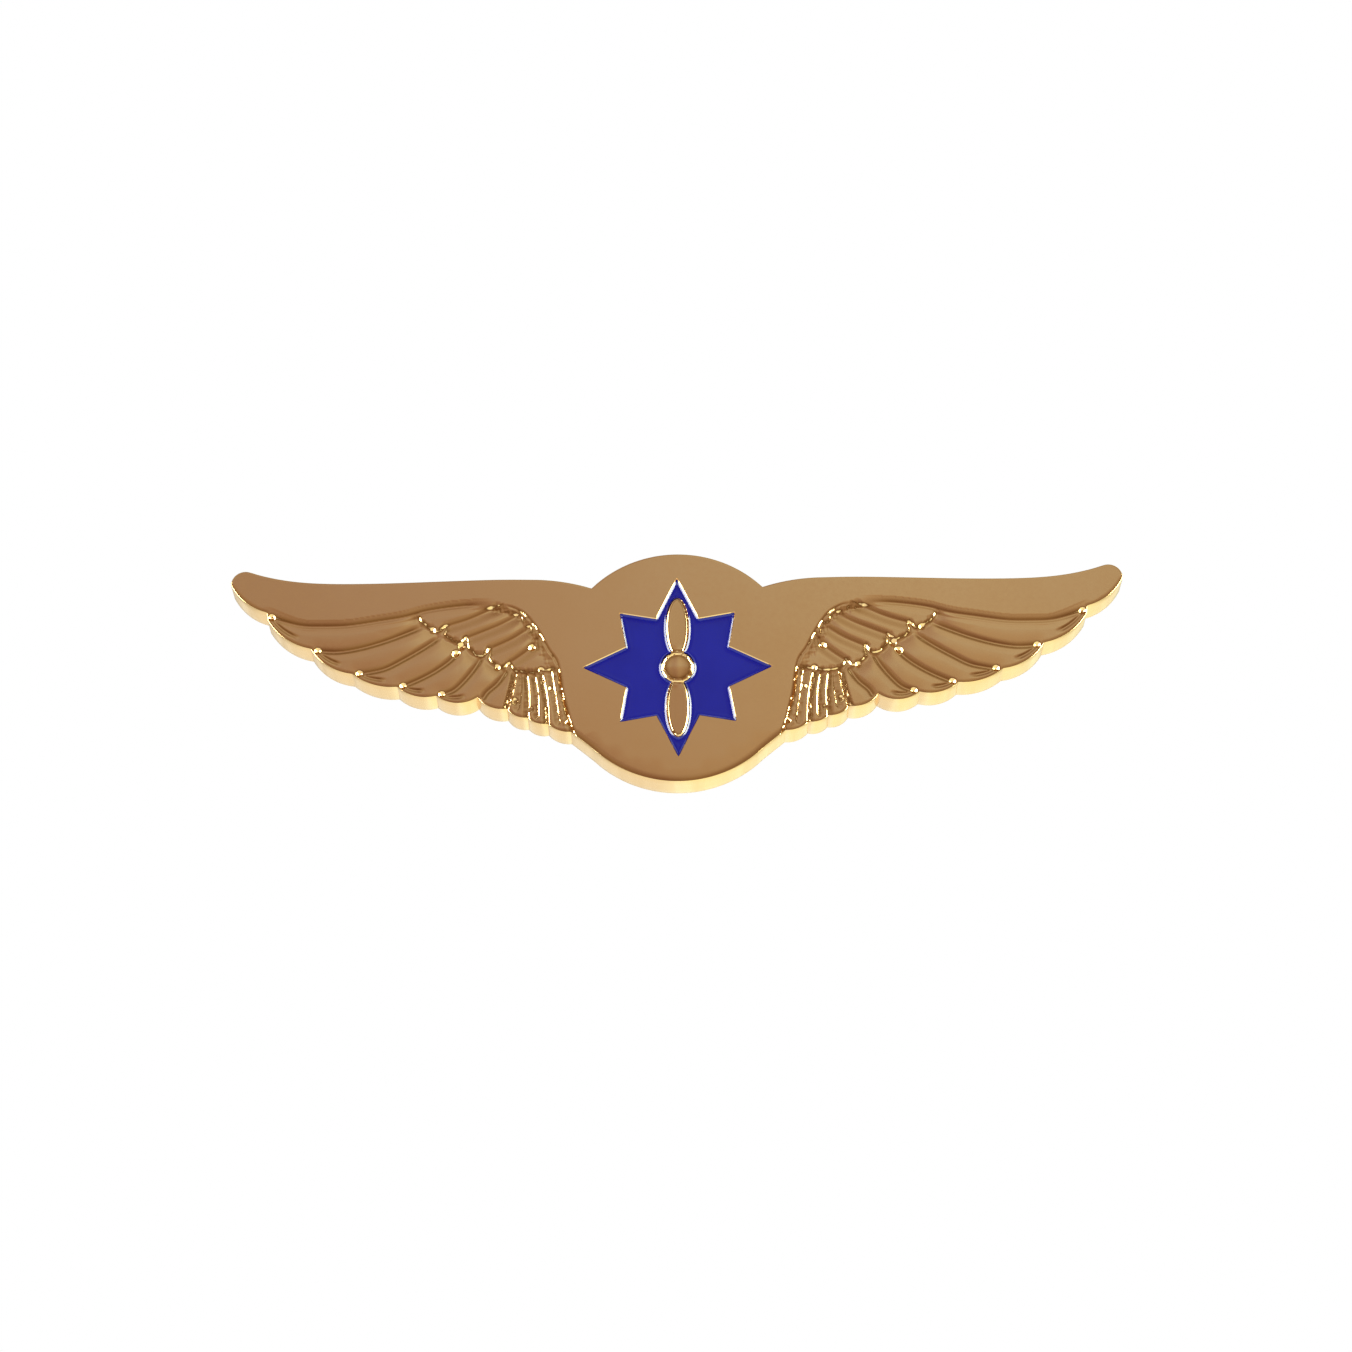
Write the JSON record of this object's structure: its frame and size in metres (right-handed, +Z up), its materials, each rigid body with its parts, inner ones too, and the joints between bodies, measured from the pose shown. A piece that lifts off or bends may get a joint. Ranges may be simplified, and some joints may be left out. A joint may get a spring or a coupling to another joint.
{
  "type": "wings lapel badge",
  "caption": "Metal wings badge: feathered relief wings on a round shield with an enamelled compass star and raised propeller, held by posts and butterfly clutches.",
  "frame": {"origin": "the flat back, behind the centre of the round shield", "axes": "as worn: +Z up, +X along the span, the polished face towards -Y, the posts and clutches towards +Y; left and right in the names are as seen by someone facing the badge, left being -X"},
  "size_m": [0.0762, 0.0109, 0.0205],
  "materials": {
    "gold_plate": "mirror-polished gold plate",
    "blue_enamel": "glossy deep blue enamel",
    "clutch_brass": "bright pressed brass sheet",
    "spring_steel": "drawn spring wire"
  },
  "bodies": {
    "badge": {"badge_body": "gold_plate", "enamel_star": "blue_enamel", "left_post": "gold_plate", "right_post": "gold_plate", "left_solder": "gold_plate", "right_solder": "gold_plate"},
    "left_base": {"left_clutch_base": "clutch_brass"},
    "left_housing": {"left_clutch_housing": "clutch_brass"},
    "left_outer_ear": {"left_clutch_outer_ear": "clutch_brass"},
    "left_outer_wire": {"left_clutch_outer_wire": "spring_steel"},
    "left_inner_ear": {"left_clutch_inner_ear": "clutch_brass"},
    "left_inner_wire": {"left_clutch_inner_wire": "spring_steel"},
    "right_base": {"right_clutch_base": "clutch_brass"},
    "right_housing": {"right_clutch_housing": "clutch_brass"},
    "right_outer_ear": {"right_clutch_outer_ear": "clutch_brass"},
    "right_outer_wire": {"right_clutch_outer_wire": "spring_steel"},
    "right_inner_ear": {"right_clutch_inner_ear": "clutch_brass"},
    "right_inner_wire": {"right_clutch_inner_wire": "spring_steel"}
  },
  "joints": [
    {"name": "left_clutch_slide", "type": "slide", "parent": "badge", "child": "left_base", "axis": [0, 1, 0], "range_m": [-0.0017, 0.014]},
    {"name": "left_clutch_spin", "type": "hinge", "parent": "left_base", "child": "left_housing", "pos_m": [-0.0137, 0.00265, 0.003], "axis": [0, 1, 0], "continuous": true},
    {"name": "left_outer_ear_squeeze", "type": "hinge", "parent": "left_housing", "child": "left_outer_ear", "pos_m": [-0.01635, 0.00455, 0.003], "axis": [0, 0, -1], "range_deg": [0, 10], "stiffness_Nm_per_rad": 0.01, "springref_deg": -2.86},
    {"name": "left_outer_wire_open", "type": "slide", "parent": "left_housing", "child": "left_outer_wire", "axis": [-1, 0, 0], "range_m": [0, 0.00013]},
    {"name": "left_inner_ear_squeeze", "type": "hinge", "parent": "left_housing", "child": "left_inner_ear", "pos_m": [-0.01105, 0.00455, 0.003], "axis": [0, 0, 1], "range_deg": [0, 10], "stiffness_Nm_per_rad": 0.01, "springref_deg": -2.86},
    {"name": "left_inner_wire_open", "type": "slide", "parent": "left_housing", "child": "left_inner_wire", "axis": [1, 0, 0], "range_m": [0, 0.00013]},
    {"name": "right_clutch_slide", "type": "slide", "parent": "badge", "child": "right_base", "axis": [0, 1, 0], "range_m": [-0.0017, 0.014]},
    {"name": "right_clutch_spin", "type": "hinge", "parent": "right_base", "child": "right_housing", "pos_m": [0.0137, 0.00265, 0.003], "axis": [0, 1, 0], "continuous": true},
    {"name": "right_outer_ear_squeeze", "type": "hinge", "parent": "right_housing", "child": "right_outer_ear", "pos_m": [0.01635, 0.00455, 0.003], "axis": [0, 0, 1], "range_deg": [0, 10], "stiffness_Nm_per_rad": 0.01, "springref_deg": -2.86},
    {"name": "right_outer_wire_open", "type": "slide", "parent": "right_housing", "child": "right_outer_wire", "axis": [1, 0, 0], "range_m": [0, 0.00013]},
    {"name": "right_inner_ear_squeeze", "type": "hinge", "parent": "right_housing", "child": "right_inner_ear", "pos_m": [0.01105, 0.00455, 0.003], "axis": [0, 0, -1], "range_deg": [0, 10], "stiffness_Nm_per_rad": 0.01, "springref_deg": -2.86},
    {"name": "right_inner_wire_open", "type": "slide", "parent": "right_housing", "child": "right_inner_wire", "axis": [-1, 0, 0], "range_m": [0, 0.00013]}
  ],
  "couplings": [
    {"joint": "left_outer_wire_open", "follows": "left_outer_ear_squeeze", "m_per_rad": 0.00074},
    {"joint": "left_inner_wire_open", "follows": "left_inner_ear_squeeze", "m_per_rad": 0.00074},
    {"joint": "right_outer_wire_open", "follows": "right_outer_ear_squeeze", "m_per_rad": 0.00074},
    {"joint": "right_inner_wire_open", "follows": "right_inner_ear_squeeze", "m_per_rad": 0.00074}
  ]
}
